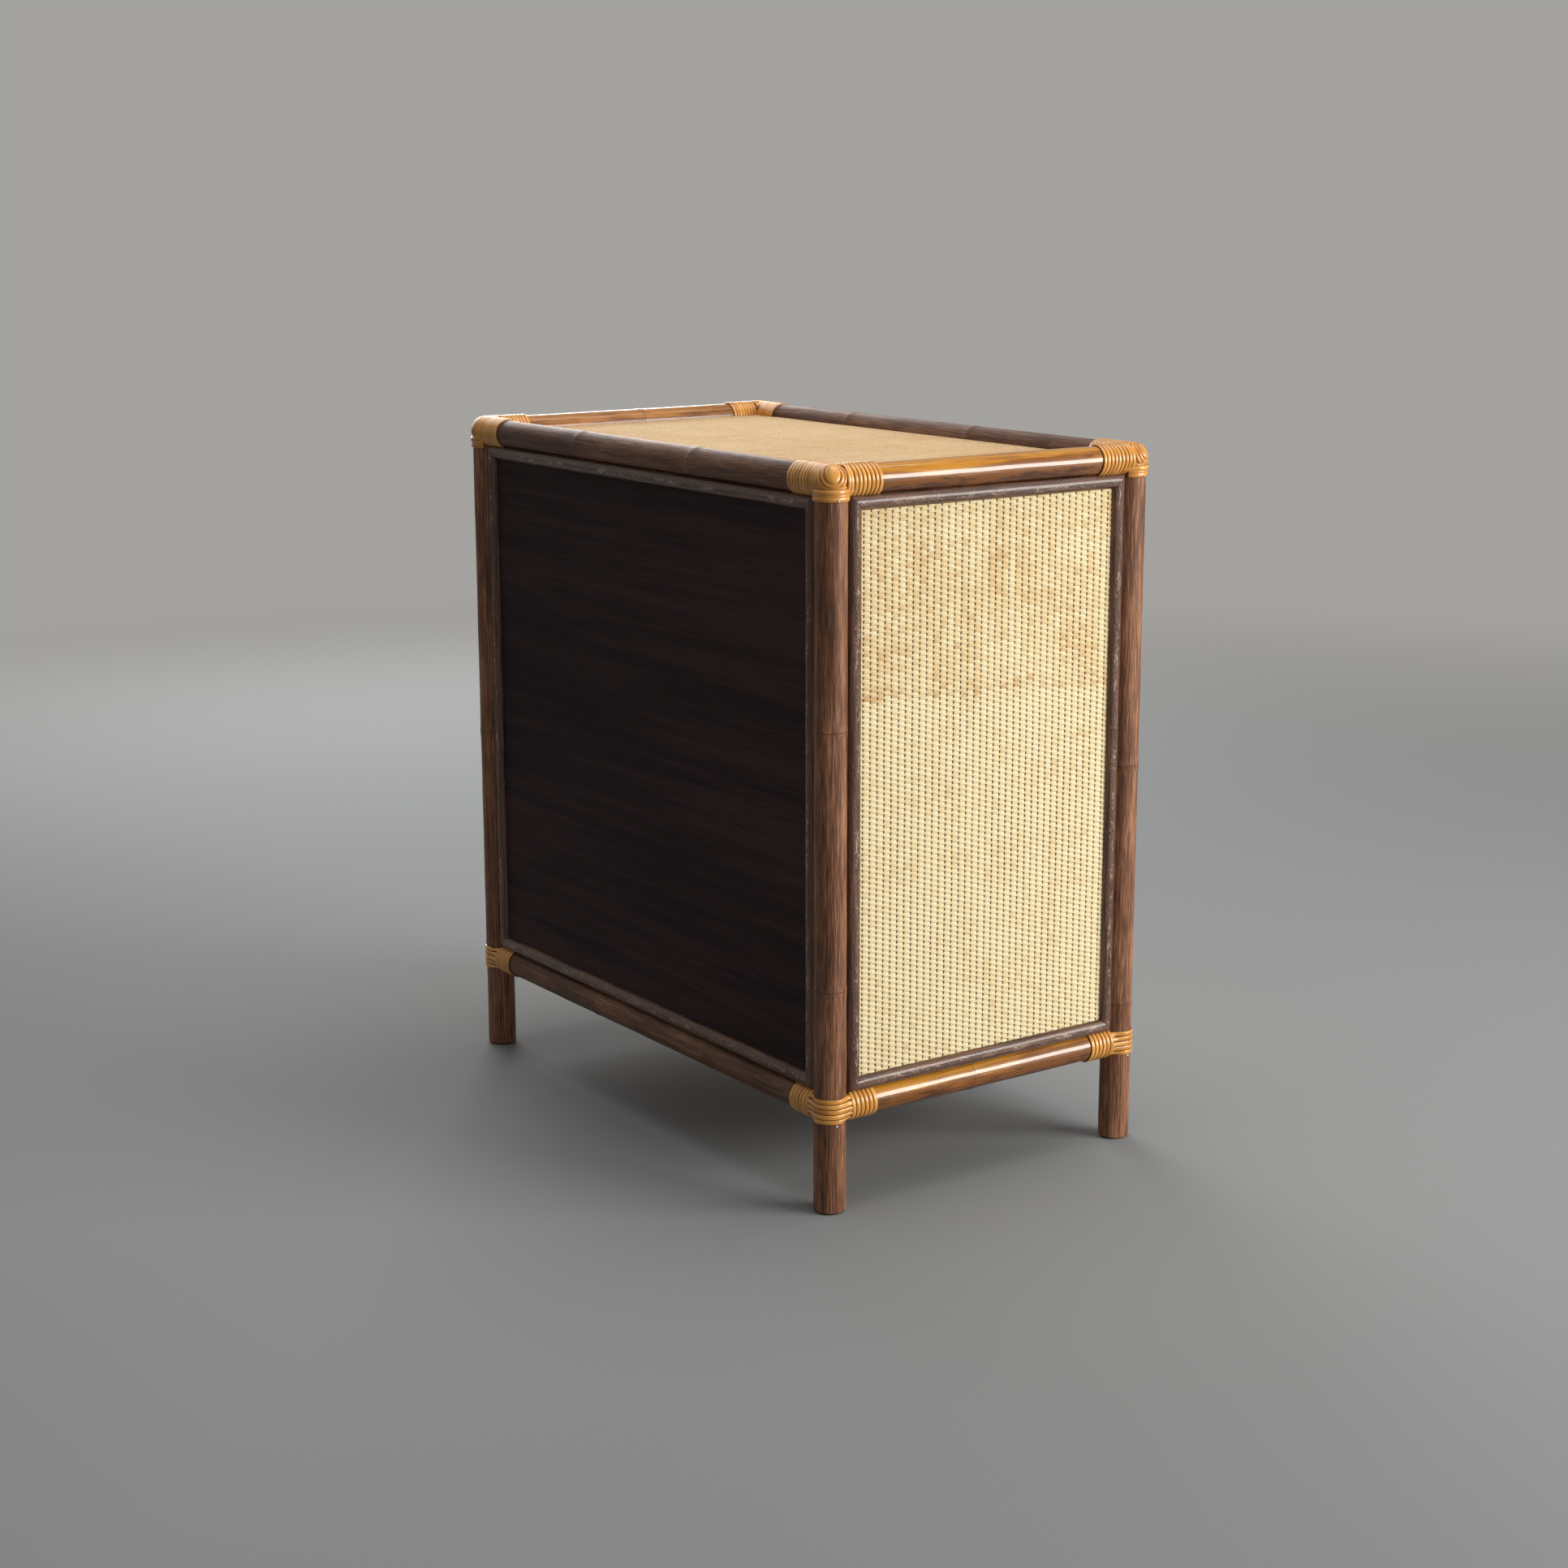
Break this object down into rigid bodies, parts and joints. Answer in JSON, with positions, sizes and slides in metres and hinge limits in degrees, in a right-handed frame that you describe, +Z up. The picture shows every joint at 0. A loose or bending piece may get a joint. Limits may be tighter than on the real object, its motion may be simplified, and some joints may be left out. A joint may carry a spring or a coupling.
{
  "type": "side table",
  "caption": "Low storage side table: round pole frame with bound corners, woven top and ends, a plain back and one side-hung door over a shelved cabinet.",
  "frame": {"origin": "on the floor, midway between the four posts", "axes": "+Z up; the door faces -Y and the plain back faces +Y; +X is to the right when the door is looked at"},
  "size_m": [0.566, 0.3413, 0.6],
  "materials": {
    "pole_dark": "dark stained cane poles, satin varnish",
    "pole_amber": "amber brown cane poles with dark streaks, glossy varnish",
    "binding_strand": "honey coloured split cane strand, semi gloss",
    "end_weave": "close woven pale straw cane webbing, light varnish",
    "top_weave": "fine woven sand coloured mesh, matt",
    "beading": "dark stained half-round cane, worn satin",
    "stained_board": "very dark stained plywood, satin",
    "inner_wood": "plain light plywood and battens, unvarnished",
    "turned_knob": "dark turned wood, satin varnish",
    "hinge_brass": "aged brass",
    "plated_steel": "zinc plated steel",
    "catch_plastic": "brown moulded plastic"
  },
  "bodies": {
    "carcass": {"back_beading": "beading", "back_panel": "stained_board", "batten_back_left": "inner_wood", "batten_back_right": "inner_wood", "bindings_bottom": "binding_strand", "bindings_top": "binding_strand", "catch_case": "catch_plastic", "catch_magnet": "plated_steel", "end_beading_left": "beading", "end_beading_right": "beading", "end_panel_left": "inner_wood", "end_panel_right": "inner_wood", "end_webbing_left": "end_weave", "end_webbing_right": "end_weave", "floor_board": "inner_wood", "hinge_jamb_leaves": "hinge_brass", "hinge_pins": "hinge_brass", "jamb_hinge_side": "inner_wood", "jamb_latch_side": "inner_wood", "post_back_left": "pole_dark", "post_back_right": "pole_dark", "post_front_left": "pole_dark", "post_front_right": "pole_dark", "rail_bottom_back": "pole_dark", "rail_bottom_front": "pole_dark", "rail_bottom_left": "pole_amber", "rail_bottom_right": "pole_amber", "rail_top_back": "pole_dark", "rail_top_front": "pole_dark", "rail_top_left": "pole_amber", "rail_top_right": "pole_amber", "shelf": "inner_wood", "shelf_cleats": "inner_wood", "top_board": "inner_wood", "top_cleats": "inner_wood", "top_webbing": "top_weave"},
    "door": {"door_panel": "inner_wood", "door_webbing": "end_weave", "door_beading": "beading", "door_knob": "turned_knob", "knob_screw": "plated_steel", "hinge_door_leaves": "hinge_brass", "catch_strike": "plated_steel"}
  },
  "joints": [
    {"name": "door_hinge", "type": "hinge", "parent": "carcass", "child": "door", "pos_m": [0.2445, -0.1623, 0.3365], "axis": [0, 0, 1], "range_deg": [0, 110]}
  ]
}
